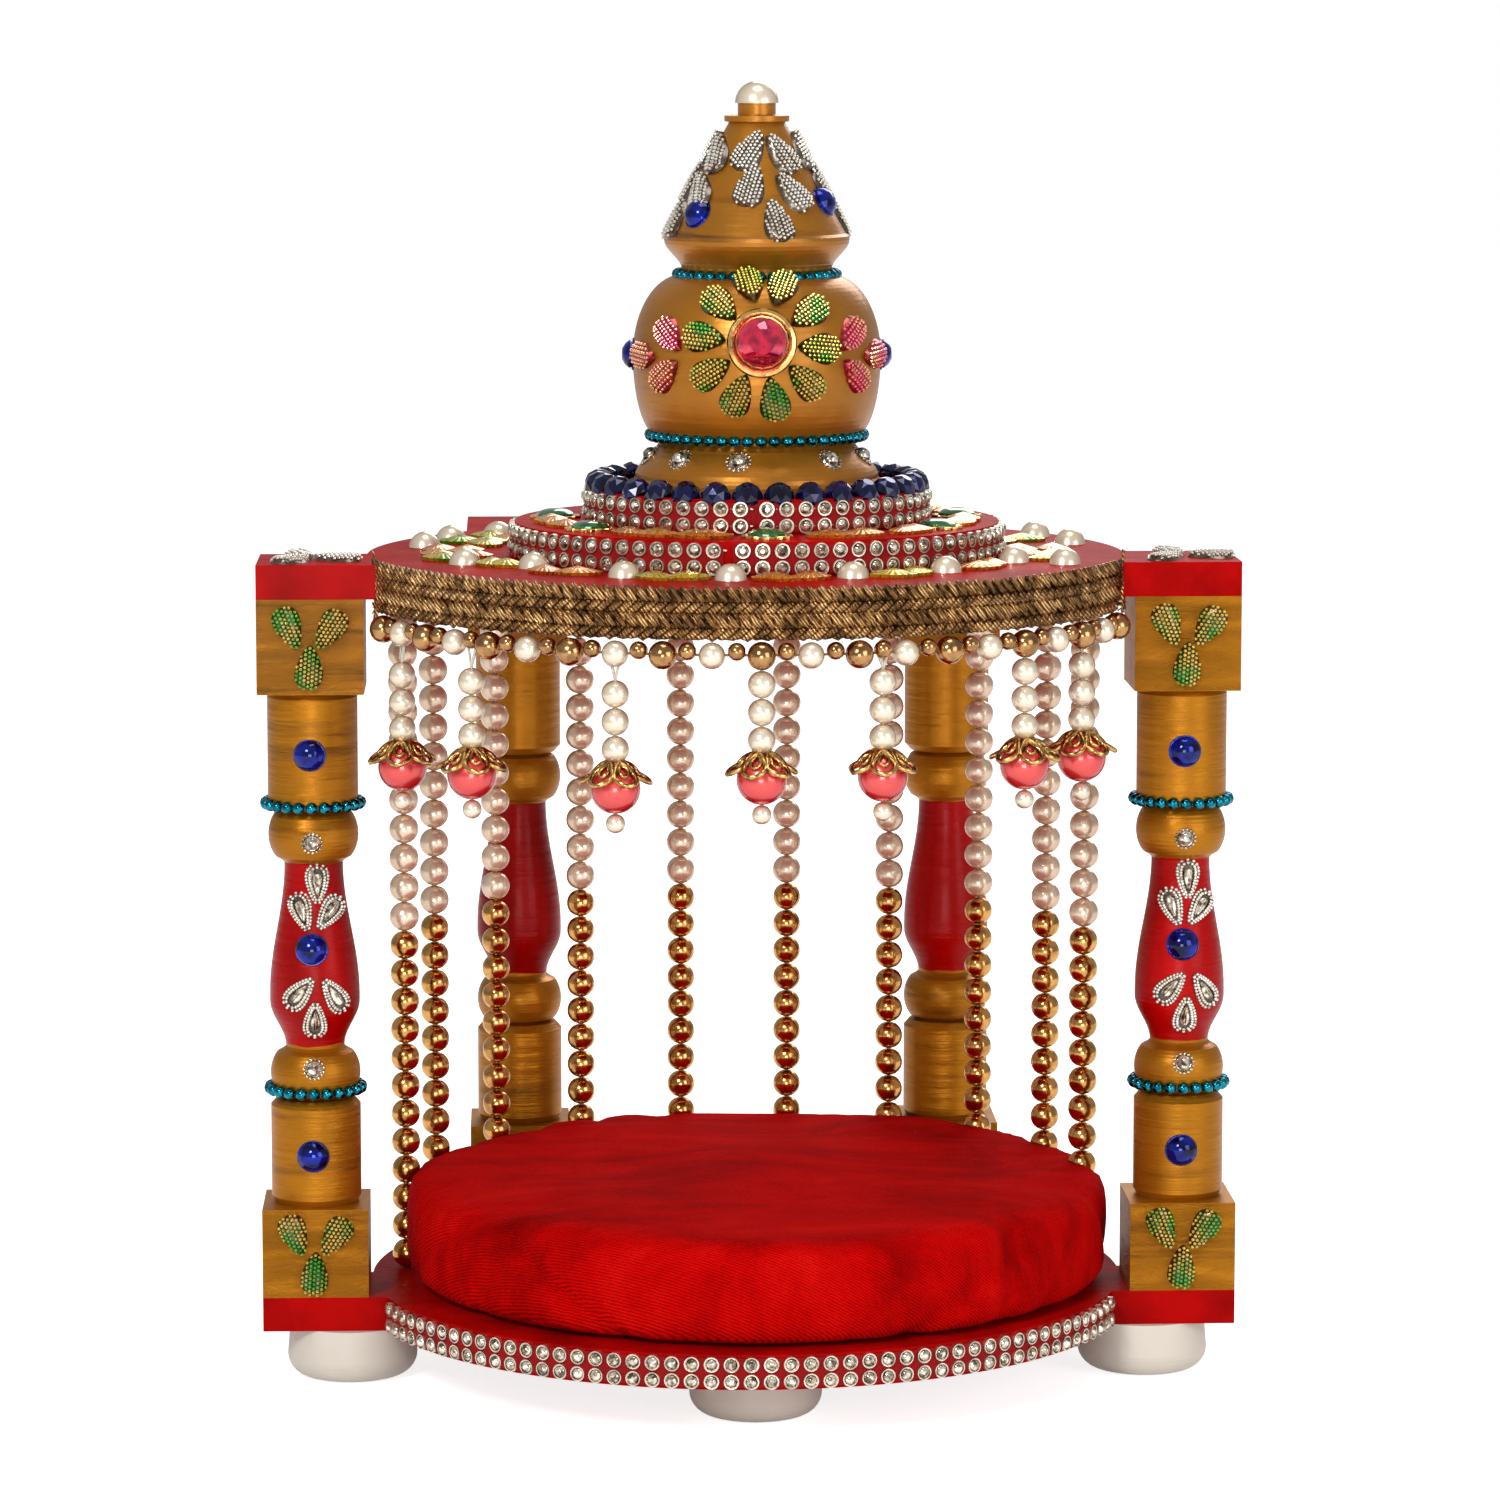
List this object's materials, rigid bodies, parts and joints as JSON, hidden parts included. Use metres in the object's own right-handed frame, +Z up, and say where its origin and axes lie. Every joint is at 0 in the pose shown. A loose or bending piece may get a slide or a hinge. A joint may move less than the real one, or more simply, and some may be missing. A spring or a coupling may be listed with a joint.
{
  "type": "miniature deity stand",
  "caption": "Round open shrine stand with a red base and roof on turned legs, a gold finial, a bead curtain at the back, a tasselled fringe and a velvet cushion.",
  "frame": {"origin": "on the floor under the middle of the whole stand; the axis of the round boards and of the finial stands 1.03 mm in front of it, toward -Y", "axes": "+Z up along the finial, the open front toward -Y, +X to the right seen from the front"},
  "size_m": [0.2166, 0.1874, 0.2878],
  "materials": {
    "red_paint": "glossy blood-red enamel on wood",
    "white_plastic": "moulded off-white plastic",
    "gold_painted_wood": "metallic mustard-gold paint on turned wood, red vases on the legs",
    "pearl": "pearlescent ivory-pink plastic",
    "ruby_stone": "faceted foil-backed stone in a gilt bezel",
    "red_velvet": "ribbed red velvet over padding",
    "bronze_braid": "woven antique-gold braid",
    "copper_beads": "metallised copper-gold beads and pearls",
    "crystal_strip": "two rows of cup crystals on red backing",
    "gold_beads": "metallised gold beads below, pearls above",
    "coral_pearl": "coral pearl ball with gilt cap under ivory pearls"
  },
  "bodies": {
    "root": {"base_board": "red_paint", "foot_front": "white_plastic", "foot_left": "white_plastic", "foot_right": "white_plastic", "foot_rear_left": "white_plastic", "foot_rear_right": "white_plastic", "leg_front_left": "gold_painted_wood", "leg_front_right": "gold_painted_wood", "leg_rear_left": "gold_painted_wood", "leg_rear_right": "gold_painted_wood", "roof_board": "red_paint", "roof_tier_lower": "red_paint", "roof_tier_upper": "red_paint", "finial": "gold_painted_wood", "finial_pearl": "pearl", "finial_jewel": "ruby_stone", "cushion": "red_velvet", "roof_braid": "bronze_braid", "bead_fringe": "copper_beads", "base_crystal_strip": "crystal_strip", "lower_tier_crystal_strip": "crystal_strip", "upper_tier_crystal_strip": "crystal_strip", "bead_strand_01": "gold_beads", "bead_strand_02": "gold_beads", "bead_strand_03": "gold_beads", "bead_strand_04": "gold_beads", "bead_strand_05": "gold_beads", "bead_strand_06": "gold_beads", "bead_strand_07": "gold_beads", "bead_strand_08": "gold_beads", "bead_strand_09": "gold_beads", "bead_strand_10": "gold_beads", "tassel_1": "coral_pearl", "tassel_2": "coral_pearl", "tassel_3": "coral_pearl", "tassel_4": "coral_pearl", "tassel_5": "coral_pearl", "tassel_6": "coral_pearl", "tassel_7": "coral_pearl"}
  },
  "joints": []
}
